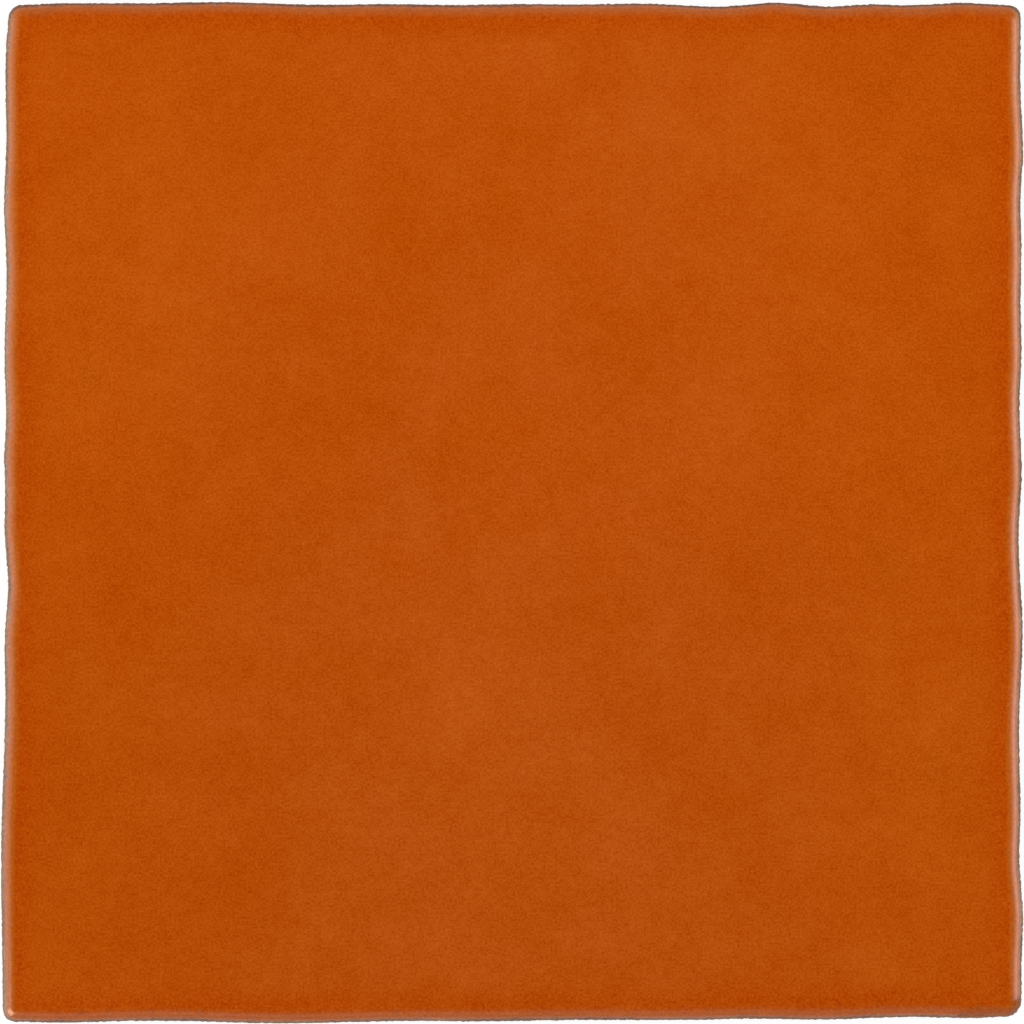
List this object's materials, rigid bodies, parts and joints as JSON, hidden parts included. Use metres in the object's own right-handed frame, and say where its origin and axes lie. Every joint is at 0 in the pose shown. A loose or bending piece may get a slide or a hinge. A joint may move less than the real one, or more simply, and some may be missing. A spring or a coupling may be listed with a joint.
{
  "type": "glazed wall tile",
  "caption": "Square glazed ceramic wall tile with gently waved edges, small rounded corners, a rounded rim and a keyed back.",
  "frame": {"origin": "middle of the tile's back, on the plane that it rests on", "axes": "+Z out of the glazed face, +Y up the wall, +X along the top edge to the right as the face is seen"},
  "size_m": [0.1328, 0.1327, 0.0085],
  "materials": {
    "glaze": "glossy orange glaze over a pale fired clay body"
  },
  "bodies": {
    "root": {"tile": "glaze"}
  },
  "joints": []
}
